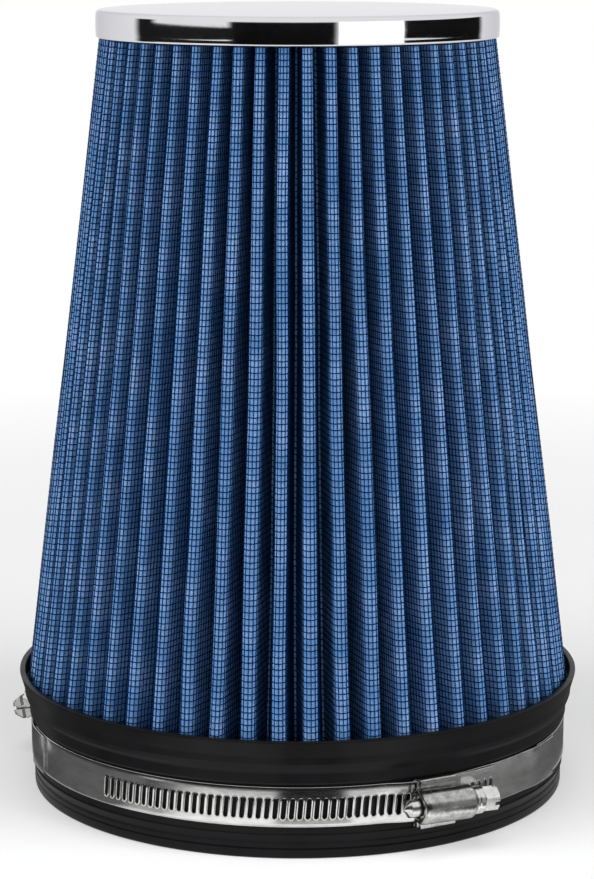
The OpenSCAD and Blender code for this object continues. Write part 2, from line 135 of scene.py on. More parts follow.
def rounded(points, radii, steps):
    """Closed polygon with each corner replaced by a small arc of its own radius."""
    pts = np.asarray(points, float)
    out = []
    n = len(pts)
    for i in range(n):
        p, a, b = pts[i], pts[i - 1], pts[(i + 1) % n]
        r = radii[i] if hasattr(radii, "__len__") else radii
        if r <= 0:
            out.append(p)
            continue
        u, v = (a - p) / np.linalg.norm(a - p), (b - p) / np.linalg.norm(b - p)
        half = math.acos(max(-1, min(1, float(u @ v)))) / 2
        d = min(r / math.tan(half), 0.45 * np.linalg.norm(a - p), 0.45 * np.linalg.norm(b - p))
        s, e = p + u * d, p + v * d
        for k in range(steps + 1):
            t = k / steps
            out.append((1 - t) ** 2 * s + 2 * t * (1 - t) * p + t ** 2 * e)
    return np.array(out)


# Materials
def material(name):
    mat = bpy.data.materials.new(name)
    mat.use_nodes = True
    tree = mat.node_tree
    shader = tree.nodes["Principled BSDF"]
    return mat, tree, shader


def node(tree, kind, **values):
    """New node with the given inputs set."""
    n = tree.nodes.new(kind)
    for key, value in values.items():
        n.inputs[key].default_value = value
    return n


def link(tree, a, b):
    tree.links.new(a, b)


def coords(tree, scale=(1, 1, 1)):
    """Object coordinates in millimetres, stretched."""
    tex = tree.nodes.new("ShaderNodeTexCoord")
    m = node(tree, "ShaderNodeMapping")
    m.inputs["Scale"].default_value = [1000 * s for s in scale]
    link(tree, tex.outputs["Object"], m.inputs["Vector"])
    return m.outputs["Vector"]


def math_node(tree, op, a, b=None):
    n = tree.nodes.new("ShaderNodeMath")
    n.operation = op
    for i, v in enumerate((a, b)):
        if v is None:
            continue
        if isinstance(v, (int, float)):
            n.inputs[i].default_value = v
        else:
            link(tree, v, n.inputs[i])
    return n.outputs[0]


def weighted(tree, a, of_a, b, of_b):
    """a * of_a + b * of_b."""
    return math_node(tree, "ADD", math_node(tree, "MULTIPLY", a, of_a), math_node(tree, "MULTIPLY", b, of_b))


def separate(tree):
    """The x, y and z of the object coordinates."""
    tex = tree.nodes.new("ShaderNodeTexCoord")
    sep = tree.nodes.new("ShaderNodeSeparateXYZ")
    link(tree, tex.outputs["Object"], sep.inputs[0])
    return sep.outputs


def distance_from_axis(tree, x, y):
    return math_node(tree, "SQRT", weighted(tree, x, x, y, y))


def round_coords(tree, along=1.0, up=1.0, out=1.0):
    """Coordinates laid round the z axis: millimetres along the turn at the element's foot, up, and out."""
    x, y, z = separate(tree)
    turn = math_node(tree, "ARCTAN2", x, math_node(tree, "MULTIPLY", y, -1.0))
    r = distance_from_axis(tree, x, y)
    comb = tree.nodes.new("ShaderNodeCombineXYZ")
    link(tree, math_node(tree, "MULTIPLY", turn, BASE_R * along), comb.inputs[0])
    link(tree, math_node(tree, "MULTIPLY", z, 1000.0 * up), comb.inputs[1])
    link(tree, math_node(tree, "MULTIPLY", r, 1000.0 * out), comb.inputs[2])
    return comb.outputs[0]


def noise(tree, vector, scale, detail=3.0, rough=0.5):
    n = node(tree, "ShaderNodeTexNoise", Scale=scale, Detail=detail, Roughness=rough)
    link(tree, vector, n.inputs["Vector"])
    return n.outputs["Fac"]


def ramp(tree, value, stops):
    """Grey or colour ramp: stops are (position, colour)."""
    r = tree.nodes.new("ShaderNodeValToRGB")
    els = r.color_ramp.elements
    while len(els) < len(stops):
        els.new(0.5)
    for el, (pos, col) in zip(els, stops):
        el.position = pos
        el.color = (col, col, col, 1) if isinstance(col, (int, float)) else (*col, 1)
    link(tree, value, r.inputs["Fac"])
    return r.outputs["Color"]


def drive(tree, shader, name, value, stops):
    """Sets an input of the shader by a ramp over value."""
    link(tree, ramp(tree, value, stops), shader.inputs[name])


def show(tree, amount, off, on, output="Material Output"):
    """Surface that is the shader off where amount is 0 and the shader on where it is 1."""
    blend = tree.nodes.new("ShaderNodeMixShader")
    link(tree, amount, blend.inputs["Fac"])
    link(tree, off.outputs[0], blend.inputs[1])
    link(tree, on.outputs[0], blend.inputs[2])
    link(tree, blend.outputs["Shader"], tree.nodes[output].inputs["Surface"])


def bump(tree, shader, height, strength, distance):
    b = node(tree, "ShaderNodeBump", Strength=strength, Distance=distance * MM)
    link(tree, height, b.inputs["Height"])
    link(tree, b.outputs["Normal"], shader.inputs["Normal"])


def gauze_material():
    mat, t, s = material("blue_gauze")
    patches = noise(t, coords(t), 0.09, 4)
    fibres = noise(t, coords(t, (1, 1, 0.35)), 2.6, 3)
    both = weighted(t, patches, 0.6, fibres, 0.4)
    drive(t, s, "Base Color", both, [(0.3, (0.040, 0.125, 0.300)), (0.5, (0.082, 0.185, 0.385)),
                                     (0.7, (0.195, 0.310, 0.560))])
    drive(t, s, "Roughness", fibres, [(0.3, 0.5), (0.7, 0.72)])
    s.inputs["Specular IOR Level"].default_value = 0.2
    bump(t, s, fibres, 0.5, 0.25)
    return mat


def wire_material():
    mat, t, s = material("black_wire")
    n = noise(t, coords(t), 0.5, 3)
    drive(t, s, "Base Color", n, [(0.35, (0.0010, 0.0095, 0.0360)), (0.7, (0.0026, 0.0175, 0.0600))])
    drive(t, s, "Roughness", n, [(0.3, 0.36), (0.7, 0.5)])
    s.inputs["Specular IOR Level"].default_value = 0.04
    return mat


def inner_screen_material():
    """Wire grid over the cloth behind it: rings and uprights, in millimetres."""
    mat, t, s = material("inner_wire_mesh")
    ring_pitch, upright_pitch, wire_r, taper = 1.77, 1.3, 0.17, 0.117
    x, y, z = separate(t)
    r = distance_from_axis(t, x, y)
    z_mm = math_node(t, "MULTIPLY", z, 1000.0)
    slope = weighted(t, r, 1000.0, z_mm, taper)

    def ridge(value, pitch):
        """Round wire across each pitch: 1 at the wire's middle, 0 between wires."""
        phase = math_node(t, "FRACT", math_node(t, "DIVIDE", value, pitch))
        off = math_node(t, "ABSOLUTE", math_node(t, "SUBTRACT", phase, 0.5))
        down = math_node(t, "MINIMUM", math_node(t, "MULTIPLY", off, pitch / wire_r), 1.0)
        return math_node(t, "SUBTRACT", 1.0, down)

    wires = math_node(t, "MAXIMUM", ridge(z_mm, ring_pitch), ridge(slope, upright_pitch))
    mask = math_node(t, "GREATER_THAN", wires, 0.02)
    tint = noise(t, coords(t), 0.3, 3)
    cloth = ramp(t, tint, [(0.3, (0.062, 0.145, 0.325)), (0.7, (0.140, 0.250, 0.480))])
    wire = ramp(t, tint, [(0.3, (0.006, 0.008, 0.016)), (0.7, (0.014, 0.018, 0.034))])
    m = t.nodes.new("ShaderNodeMix")
    m.data_type = "RGBA"
    link(t, mask, m.inputs["Factor"])
    link(t, cloth, m.inputs["A"])
    link(t, wire, m.inputs["B"])
    link(t, m.outputs["Result"], s.inputs["Base Color"])
    drive(t, s, "Roughness", mask, [(0.0, 0.65), (1.0, 0.35)])
    bump(t, s, wires, 1.0, 0.3)
    return mat


def chrome_material():
    mat, t, s = material("cap_chrome")
    s.inputs["Metallic"].default_value = 1.0
    n = noise(t, coords(t), 0.05, 4)
    fine = noise(t, coords(t), 1.5, 2)
    drive(t, s, "Base Color", n, [(0.3, (0.690, 0.687, 0.712)), (0.7, (0.725, 0.722, 0.748))])
    drive(t, s, "Roughness", fine, [(0.3, 0.035), (0.75, 0.075)])
    s.inputs["Specular Tint"].default_value = (0.72, 0.715, 0.745, 1)
    bump(t, s, n, 0.03, 0.3)
    return mat


def rubber_material():
    mat, t, s = material("satin_rubber")
    n = noise(t, coords(t), 0.12, 4)
    fine = noise(t, coords(t), 5.0, 3)
    drive(t, s, "Base Color", n, [(0.3, (0.0038, 0.0038, 0.0044)), (0.7, (0.0062, 0.0062, 0.0070))])
    drive(t, s, "Roughness", weighted(t, n, 0.6, fine, 0.4), [(0.3, 0.34), (0.7, 0.46)])
    s.inputs["Specular IOR Level"].default_value = 0.11
    bump(t, s, fine, 0.12, 0.06)
    return mat


def potting_material():
    mat, t, s = material("matt_potting")
    n = noise(t, coords(t), 0.15, 4)
    drive(t, s, "Base Color", n, [(0.3, (0.008, 0.008, 0.009)), (0.7, (0.016, 0.016, 0.018))])
    drive(t, s, "Roughness", n, [(0.3, 0.4), (0.7, 0.65)])
    bump(t, s, n, 0.5, 0.5)
    return mat


def band_material():
    """Stainless strip: fine lines along the strip, and a little dulling in patches."""
    mat, t, s = material("band_steel")
    s.inputs["Metallic"].default_value = 1.0
    lines = noise(t, round_coords(t, along=0.05, up=6.0, out=1.0), 1.0, 3)
    patches = noise(t, round_coords(t, along=0.16, up=0.5, out=0.5), 1.0, 5, 0.62)
    drive(t, s, "Base Color", patches, [(0.30, (0.46, 0.457, 0.45)), (0.52, (0.57, 0.567, 0.56)),
                                        (0.75, (0.64, 0.637, 0.63))])
    drive(t, s, "Roughness", weighted(t, lines, 0.4, patches, 0.6), [(0.3, 0.11), (0.7, 0.22)])
    s.inputs["Specular Tint"].default_value = (0.72, 0.72, 0.72, 1)
    bump(t, s, lines, 0.08, 0.04)
    return mat


def plated_material():
    mat, t, s = material("plated_steel")
    s.inputs["Metallic"].default_value = 1.0
    patches = noise(t, coords(t), 0.55, 5, 0.7)
    lines = noise(t, coords(t, (0.3, 0.3, 5.0)), 1.0, 3)
    drive(t, s, "Base Color", patches, [(0.3, (0.26, 0.258, 0.252)), (0.52, (0.44, 0.438, 0.43)),
                                        (0.72, (0.64, 0.638, 0.63))])
    both = weighted(t, patches, 0.5, lines, 0.5)
    drive(t, s, "Roughness", both, [(0.3, 0.14), (0.7, 0.30)])
    s.inputs["Specular Tint"].default_value = (0.75, 0.75, 0.75, 1)
    bump(t, s, both, 0.15, 0.10)
    return mat


def screw_material():
    mat, t, s = material("screw_nickel")
    s.inputs["Metallic"].default_value = 1.0
    n = noise(t, coords(t), 0.6, 4)
    drive(t, s, "Base Color", n, [(0.3, (0.56, 0.556, 0.548)), (0.7, (0.76, 0.756, 0.747))])
    drive(t, s, "Roughness", n, [(0.3, 0.14), (0.7, 0.28)])
    bump(t, s, n, 0.10, 0.1)
    return mat


gauze = gauze_material()
wire = wire_material()
chrome = chrome_material()
rubber = rubber_material()
band_steel = band_material()
plated = plated_material()
nickel = screw_material()


# Pleated element
def fold_curve(t, e, parts):
    """Section of one pleat at height fractions t, offset by e from the middle of the cloth.

    parts is the list of places along it: ("g", side, f) in a groove from its floor to the flank, ("f", side, f)
    on a flank from groove to crest, ("c", 0, f) on the crest from -1 to 1. Returns x across and y outwards.
    """
    t = np.asarray(t, float)[:, None]
    crest_r = mix(CREST_BASE, CREST_TOP, t)
    over = mix(BASE_R, TOP_R, t)
    crest_y = over - STACK - crest_r
    deep = over - mix(FOLD_BASE, FOLD_TOP, t) + STACK + GROOVE_R
    gx, gy = deep * math.sin(HALF_PITCH), deep * math.cos(HALF_PITCH)
    sx, sy = gx, gy - crest_y
    lean = np.arctan2(sx, -sy) - np.arcsin((crest_r + GROOVE_R) / np.hypot(sx, sy))
    turn = math.pi / 2 - lean
    out_x, out_y = [], []
    for kind, side, f in parts:
        if kind == "c":
            a = f * turn
            px, py = (crest_r + e) * np.sin(a), crest_y + (crest_r + e) * np.cos(a)
        else:
            a = mix(HALF_PITCH, turn, f if kind == "g" else 1.0)
            px, py = gx - (GROOVE_R - e) * np.sin(a), gy - (GROOVE_R - e) * np.cos(a)
            if kind == "f":
                cx, cy = (crest_r + e) * np.sin(turn), crest_y + (crest_r + e) * np.cos(turn)
                px, py = mix(px, cx, f), mix(py, cy, f)
            px = side * px
        out_x.append(px)
        out_y.append(py)
    return np.concatenate(out_x, axis=1), np.concatenate(out_y, axis=1)


def fold_parts(groove, flank, crest):
    """Places along a pleat from its left groove floor up to, but not with, the right one."""
    g = [k / groove for k in range(groove + 1)]
    f = [k / flank for k in range(1, flank)] if flank > 1 else []
    c = [-1 + 2 * k / crest for k in range(crest + 1)]
    left = [("g", -1, v) for v in g] + [("f", -1, v) for v in f]
    right = [("f", 1, v) for v in reversed(f)] + [("g", 1, v) for v in reversed(g)]
    return left + [("c", 0, v) for v in c] + right[:-1]


def waves(size):
    """Seeded smooth wander along the height for each pleat, as a function of t: three waves of it added."""
    amp = rng.normal(0, 1, (PLEATS, 3)) * size / np.array([1.0, 1.6, 2.6])
    freq = np.array([0.6, 1.5, 3.1])
    phase = rng.uniform(0, 2 * math.pi, (PLEATS, 3))

    def at(t):
        t = np.asarray(t, float)
        return (amp[:, None, :] * np.sin(2 * math.pi * freq * t[None, :, None] + phase[:, None, :])).sum(axis=2)
    return at


crest_side = waves(0.0032)
floor_side = waves(0.0022)
crest_out = waves(0.11)


def place_folds(px, py, t, z):
    """Puts each pleat's section round the axis, with its wander. Returns [pleat, height, place, xyz]."""
    t = np.asarray(t, float)
    angle = np.arctan2(px, py)
    radius = np.hypot(px, py)
    w = np.clip(np.abs(angle) / HALF_PITCH, 0, 1)
    w = w * w * (3 - 2 * w)
    cs, fs = crest_side(t), floor_side(t)
    co = np.clip(crest_out(t) - 0.12, -0.3, 0)
    out = []
    for p in range(PLEATS):
        right, left = fs[p], fs[p - 1]
        side = np.where(angle >= 0, right[:, None], left[:, None])
        a = angle + (1 - w) * cs[p][:, None] + w * side + math.radians(PHASE) + 2 * HALF_PITCH * p
        r = radius + (1 - w) * co[p][:, None]
        out.append(np.stack([r * np.sin(a), -r * np.cos(a), np.broadcast_to(z[:, None], r.shape)], axis=2))
    return np.stack(out)


def build_cloth():
    parts = fold_parts(3, 4, 8)
    rows = 36
    t = np.linspace(0, 1, rows)
    z = SEAT_Z + 0.05 + (ELEMENT_H - 0.1) * t
    outer = place_folds(*fold_curve(t, 0.45, parts), t, z)
    t_in = np.array([1.0, 0.5, 0.0])
    inner = place_folds(*fold_curve(t_in, -0.2, parts), t_in, SEAT_Z + 0.05 + (ELEMENT_H - 0.1) * t_in)
    both = np.concatenate([outer, inner], axis=1)
    loop = both.transpose(1, 0, 2, 3).reshape(rows + 3, -1, 3)
    faces = grid_faces(rows + 3, loop.shape[1], wrap_cols=True, wrap_rows=True)
    make("pleated_gauze", loop.reshape(-1, 3), faces, slot="cloth", replaces=["filter_media"], material=gauze,
         sharp=80)


def tube(path, radius, sides, closed):
    """Thin tube along points [n, 3]; its section is spread from the path's own outward and up directions."""
    n = len(path)
    along = (np.roll(path, -1, axis=0) - np.roll(path, 1, axis=0)) if closed else np.gradient(path, axis=0)
    along /= np.linalg.norm(along, axis=1)[:, None]
    outwards, upwards = np.array([[path[0, 0], path[0, 1], 0.0]]), np.array([[0.0, 0, 1.0]])
    ref = np.where(np.abs(along[:, 2:3]) > 0.9, outwards, upwards)
    u = np.cross(along, ref)
    u /= np.linalg.norm(u, axis=1)[:, None]
    v = np.cross(u, along)
    a = np.arange(sides) * 2 * math.pi / sides
    round_it = np.cos(a)[None, :, None] * u[:, None, :] + np.sin(a)[None, :, None] * v[:, None, :]
    pts = path[:, None, :] + radius * round_it
    return pts.reshape(-1, 3), grid_faces(n, sides, wrap_cols=True, wrap_rows=closed)


def join(tubes):
    """Points and quads of many tubes in one."""
    points, quads = zip(*tubes)
    starts = np.cumsum([0] + [len(p) for p in points[:-1]])
    return np.concatenate(points), np.concatenate([q + start for q, start in zip(quads, starts)])


def build_wires():
    ring_parts = fold_parts(2, 1, 6)
    rings = 112
    ring_r, upright_r = 0.18, 0.15
    batches = 4
    for batch in range(batches):
        tubes = []
        for i in range(batch * rings // batches, (batch + 1) * rings // batches):
            t = np.array([(i + 0.5) / rings])
            z = SEAT_Z + ELEMENT_H * t
            sag = rng.normal(0, 0.07, PLEATS)
            px, py = fold_curve(t, 0.66, ring_parts)
            w = np.clip(np.abs(np.arctan2(px, py)) / HALF_PITCH, 0, 1)[0]
            path = place_folds(px, py, t, z)[:, 0]
            path[:, :, 2] = z[0] + sag[:, None] * (1 - w)[None, :]
            tubes.append(tube(path.reshape(-1, 3), ring_r, 3, True))
        obj = make(f"outer_screen_rings_{batch + 1}", *join(tubes), slot="screen", material=wire, sharp=180)
        if batch == 0:
            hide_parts("outer_screen")
    dense = fold_parts(4, 4, 10)
    t = np.linspace(0.0, 1.0, 9)
    z = SEAT_Z + 0.3 + (ELEMENT_H - 0.6) * t
    px, py = fold_curve(t, 0.54, dense + [("g", 1, 0.0)])
    length = np.concatenate([np.zeros((len(t), 1)),
                             np.cumsum(np.hypot(np.diff(px, axis=1), np.diff(py, axis=1)), axis=1)], axis=1)
    count = 23
    fractions = (np.arange(count) + 0.5) / count
    sx = np.array([np.interp(fractions * l[-1], l, row) for l, row in zip(length, px)])
    sy = np.array([np.interp(fractions * l[-1], l, row) for l, row in zip(length, py)])
    placed = place_folds(sx, sy, t, z)
    tubes = [tube(placed[p, :, k], upright_r, 3, False) for p in range(PLEATS) for k in range(count)]
    make("outer_screen_uprights", *join(tubes), slot="screen", material=wire, sharp=180)


# Cap and rubber base
def build_cap():
    r, t = CAP_R, CAP_T
    profile = np.concatenate([
        [[0.01, CAP_TOP_Z - t]],
        arc(r - 1.4, CAP_TOP_Z - 1.4, 0.6, 90, 0, 4),
        [[r - t, CAP_Z + 0.75]],
        arc(r - 0.5, CAP_Z + 0.42, 0.42, 200, 340, 6),
        [[r - 0.15, CAP_Z + 0.75], [r - 0.08, CAP_Z + 1.5], [r - 0.02, CAP_Z + 2.6], [r, CAP_Z + 3.8],
         [r - 0.02, CAP_Z + 5.0], [r - 0.07, CAP_Z + 6.0]],
        arc(r - 1.5, CAP_TOP_Z - 1.4, 1.4, 4, 90, 10),
        [[r - 8, CAP_TOP_Z], [30, CAP_TOP_Z], [0.01, CAP_TOP_Z]],
    ])
    verts, faces = revolve(profile, 256)
    make("pressed_cap", verts, faces, slot="cap_chrome", replaces=["top_cap"], material=chrome, sharp=50)


def build_base():
    low, high = HOUSING_Z - GROOVE_HALF_W, HOUSING_Z + GROOVE_HALF_W
    points = [
        (76.2, 0.0), (82.05, 0.0), (82.05, 2.65), (81.6, 2.95), (82.05, 3.3), (82.05, 4.6), (81.75, 4.95),
        (82.5, 7.0), (82.5, low), (82.2, low), (82.2, high), (83.0, high), (83.3, 23.0), (83.3, 26.0),
        (84.1, 27.3), (84.7, 28.9), (84.9, 31.0), (86.15, 35.4), (86.15, 36.0), (84.35, 36.0), (84.35, 31.5),
        (67.0, 31.5), (67.0, 26.0), (76.2, 26.0),
    ]
    radii = [0.5, 1.1, 0.08, 0.1, 0.08, 0.4, 0.4, 0.2, 0.08, 0, 0, 0.2, 0.3, 1.5, 1.2, 1.5, 2.5, 0.7, 0.45, 0.5,
             0.1, 0.5, 0.5, 0.3]
    verts, faces = revolve(rounded(points, radii, 4), 288)
    make("rubber_neck", verts, faces, slot="rubber", replaces=["rubber_base"], material=rubber, sharp=60)


# Clamp
def strip_radius(a, knots):
    """Inner radius of a strip at turns a in degrees: a smooth swing between knots."""
    a = np.asarray(a, float)
    turns = np.array([k[0] for k in knots])
    radii = np.array([k[1] for k in knots])
    i = np.clip(np.searchsorted(turns, a, side="left"), 1, len(knots) - 1)
    t = np.clip((a - turns[i - 1]) / (turns[i] - turns[i - 1]), 0, 1)
    return mix(radii[i - 1], radii[i], t * t * (3 - 2 * t))


def bend(s, w, h, housing, knots):
    """Flat strip coordinates in millimetres (along from the housing, up, out) to space."""
    a = housing + s / MM_PER_TURN
    r = strip_radius(a, knots) + h
    a = np.radians(a)
    return np.stack([r * np.sin(a), -r * np.cos(a), BAND_Z + w], axis=-1)


def strip_section():
    """Section of a plain strip, with rolled edges, as (across, out) points."""
    half = BAND_W / 2
    return rounded([(-half, 0), (half, 0), (half, BAND_T), (-half, BAND_T)], 0.2, 3)


def end_limit(w, end):
    """Furthest place along the strip at height w, for an end with rounded corners."""
    over = np.clip(np.abs(w) - (BAND_W / 2 - CORNER_R), 0, CORNER_R)
    return end - CORNER_R + np.sqrt(np.maximum(CORNER_R ** 2 - over ** 2, 0))


def build_strap(name, housing, cover, replaced):
    mm = MM_PER_TURN
    start = SADDLE_L / 2 / mm + SADDLE_SHIFT / mm + STEP_GAP
    lap = cover - LAP_TURN - STEP_GAP
    knots = [(housing - start, STRAP_SADDLE_R), (housing + start, STRAP_SADDLE_R),
             (housing + start + RAMP_TURN, STRAP_LOW_R), (housing + lap - RAMP_TURN, STRAP_LOW_R),
             (housing + lap, STRAP_LAP_R), (housing + cover, STRAP_LAP_R)]
    section = strip_section()
    s = np.linspace(-start * mm, cover * mm, 72)
    w, h = section[:, 0], section[:, 1]
    grid = [bend(np.full(len(section), value), w, h, housing, knots) for value in s]
    middles = bend(np.array([s[0], s[-1]]), np.zeros(2), np.full(2, BAND_T / 2), housing, knots)
    verts = np.concatenate(grid + [middles])
    n, rows = len(section), len(s)
    faces = grid_faces(rows, n, wrap_cols=True, flip=True).tolist()
    first, last = rows * n, rows * n + 1
    for k in range(n):
        faces.append([k, first, (k + 1) % n][::-1])
        faces.append([(rows - 1) * n + k, (rows - 1) * n + (k + 1) % n, last][::-1])
    make(name, verts, faces, slot="band_steel", replaces=[replaced], material=band_steel, sharp=50)


def slot_outline(grow, count):
    """Points round a slot widened by grow: from its foot's middle up the right side, then down the left."""
    r, straight = SLOT_W / 2 + grow, (SLOT_L - SLOT_W) / 2
    quarter = math.pi * r / 2
    right = []
    for d in np.linspace(0, 2 * quarter + 2 * straight, count):
        if d < quarter:
            turn = d / r - math.pi / 2
            right.append((r * math.cos(turn), r * math.sin(turn) - straight))
        elif d < quarter + 2 * straight:
            right.append((r, d - quarter - straight))
        else:
            turn = (d - quarter - 2 * straight) / r
            right.append((r * math.cos(turn), r * math.sin(turn) + straight))
    left = [(-x, y) for x, y in reversed(right)]
    return np.array(right + left[1:-1])


def build_band(name, start, housing, replaced):
    """Slotted band: a tile with a pressed rim round each slot, plain margins, a plain run and a rounded end."""
    mm = MM_PER_TURN
    rise = housing - (SADDLE_L / 2 / mm + SADDLE_SHIFT / mm + 2 * STEP_GAP)
    end = SLOTS_PAST * SLOT_PITCH + SLOT_W / 2 + BAND_END
    knots = [(start, STRAP_LOW_R), (rise - RAMP_TURN, STRAP_LOW_R), (rise, BAND_SADDLE_R),
             (housing + end / mm, BAND_SADDLE_R)]
    rolled, rim_w = 0.18, 0.6
    half, flat = BAND_W / 2, BAND_W / 2 - rolled
    lean = math.tan(math.radians(SLOT_LEAN))
    side_n = 17
    tile = np.linspace(-SLOT_L / 2 - rim_w, SLOT_L / 2 + rim_w, side_n) - SLOT_DROP
    low_margin = np.array([-flat, (tile[0] - flat) / 2, tile[0]])
    high_margin = np.array([tile[-1], (tile[-1] + flat) / 2, flat])
    full = np.concatenate([low_margin[:-1], tile, high_margin[1:]])
    verts, faces = [], []

    def add(points, quads):
        base = sum(len(v) for v in verts)
        verts.append(points)
        faces.extend([[base + k for k in quad] for quad in quads])

    def place(s, w, h, shear=1.0):
        w = np.asarray(w, float)
        s = np.minimum(s + shear * (w + SLOT_DROP) * lean, end_limit(np.clip(w, -flat, flat), end))
        return bend(s, w, np.broadcast_to(h, w.shape), housing, knots)

    # Tiles: the edge and the slot's outline are both counted from the foot up the right side
    rims = [(slot_outline(grow, side_n), BAND_T + h) for grow, h in
            ((0.46, 0.0), (0.42, 0.0), (0.28, 0.13), (0.12, 0.17), (0.0, 0.05), (0.0, -BAND_T))]
    n = len(rims[0][0])
    edge_x = np.concatenate([np.full(side_n, SLOT_PITCH / 2), np.full(side_n, -SLOT_PITCH / 2)])
    edge_w = np.concatenate([tile, tile[::-1]])
    count = len(edge_x)
    quads = []
    for e in range(count):
        after = (e + 1) % count
        a, b = (k if k < side_n else (k - 1) % n for k in (e, after))
        top, low = 2 * count, 2 * count + (len(rims) - 1) * n
        if a == b:
            quads += [[e, after, top + a], [count + after, count + e, low + a]]
        else:
            quads += [[e, after, top + b, top + a], [count + after, count + e, low + a, low + b]]
    for i in range(len(rims) - 1):
        r0 = 2 * count + i * n
        quads += [[r0 + a, r0 + (a + 1) % n, r0 + n + (a + 1) % n, r0 + n + a] for a in range(n)]
    for k in range(-SLOTS_BEFORE, SLOTS_PAST + 1):
        centre = k * SLOT_PITCH
        rows = [place(centre + edge_x, edge_w, BAND_T), place(centre + edge_x, edge_w, 0.0)]
        rows += [place(centre + ring[:, 0], ring[:, 1] - SLOT_DROP, h) for ring, h in rims]
        add(np.concatenate(rows), quads)

    # Plain margins beside the tiles, and the plain run from the band's start
    first = -(SLOTS_BEFORE + 0.5) * SLOT_PITCH
    begin = (start - housing) * mm
    tiled = first + SLOT_PITCH * np.arange(SLOTS_BEFORE + SLOTS_PAST + 2)
    plain = np.linspace(begin, first, max(3, int((first - begin) / 1.2)))
    shear = np.clip((plain - first + 6) / 6, 0, 1)
    for h in (BAND_T, 0.0):
        for margin in (low_margin, high_margin):
            add(np.concatenate([place(s, margin, h) for s in tiled]),
                grid_faces(len(tiled), len(margin), flip=h == 0.0).tolist())
        add(np.concatenate([place(s, full, h, f) for s, f in zip(plain, shear)]),
            grid_faces(len(plain), len(full), flip=h == 0.0).tolist())

    # Rolled edges of the whole length
    s_edge = np.concatenate([plain[:-1], tiled, tiled[-1] + np.arange(0.3, end - tiled[-1] + 1.2, 0.3)])
    f_edge = np.concatenate([shear[:-1], np.ones(len(s_edge) - len(shear) + 1)])
    for side in (1, -1):
        section = np.array([(flat, BAND_T), (half - 0.05, BAND_T - 0.05), (half, BAND_T - 0.16), (half, 0.16),
                            (half - 0.05, 0.05), (flat, 0.0)])
        rows = []
        for s, f in zip(s_edge, f_edge):
            w = side * section[:, 0]
            limit = end_limit(np.full(len(w), side * flat), end)
            s = np.minimum(s + f * (side * flat + SLOT_DROP) * lean, limit)
            rows.append(bend(s, w, section[:, 1], housing, knots))
        add(np.concatenate(rows), grid_faces(len(rows), len(section), flip=side < 0).tolist())

    # Rounded end beyond the last tile, and the wall across it
    last = end_limit(full, end)
    reach = np.linspace(0, 1, 4)[:, None]
    tile_end = np.minimum(tiled[-1] + (full + SLOT_DROP) * lean, last)
    spans = tile_end + (last - tile_end) * reach
    for h in (BAND_T, 0.0):
        add(np.concatenate([bend(s, full, np.full(len(full), h), housing, knots) for s in spans]),
            grid_faces(len(spans), len(full), flip=h == 0.0).tolist())
    add(np.concatenate([bend(last, full, np.full(len(full), h), housing, knots) for h in (BAND_T, 0.0)]),
        grid_faces(2, len(full)).tolist())
    make(name, np.concatenate(verts), faces, slot="band_steel", replaces=[replaced], material=band_steel,
         sharp=50, welded=True)


def local(points, turn, lean=0.0, out=0.0):
    """Points in a housing's frame to space: x along the band, -y outwards, z up; lean tips the head down."""
    a, b = math.radians(turn), math.radians(lean)
    rz = np.array([[math.cos(a), -math.sin(a), 0], [math.sin(a), math.cos(a), 0], [0, 0, 1]])
    ry = np.array([[math.cos(b), 0, math.sin(b)], [0, 1, 0], [-math.sin(b), 0, math.cos(b)]])
    return np.asarray(points, float) @ (rz @ ry).T + rz @ np.array([0, -out, HOUSING_Z])


def merge(parts):
    verts, faces, base = [], [], 0
    for v, f in parts:
        v = np.asarray(v, float).reshape(-1, 3)
        verts.append(v)
        faces += [[base + i for i in face] for face in (f.tolist() if isinstance(f, np.ndarray) else f)]
        base += len(v)
    return np.concatenate(verts), faces


def swept(section, xs):
    """Closed (y, z) section pushed along x, with closed ends."""
    n = len(section)
    verts = np.concatenate([np.column_stack([np.full(n, x), section]) for x in xs])
    faces = grid_faces(len(xs), n, wrap_cols=True, flip=True).tolist()
    faces.append(list(range(n)))
    faces.append([(len(xs) - 1) * n + k for k in reversed(range(n))])
    return verts, faces


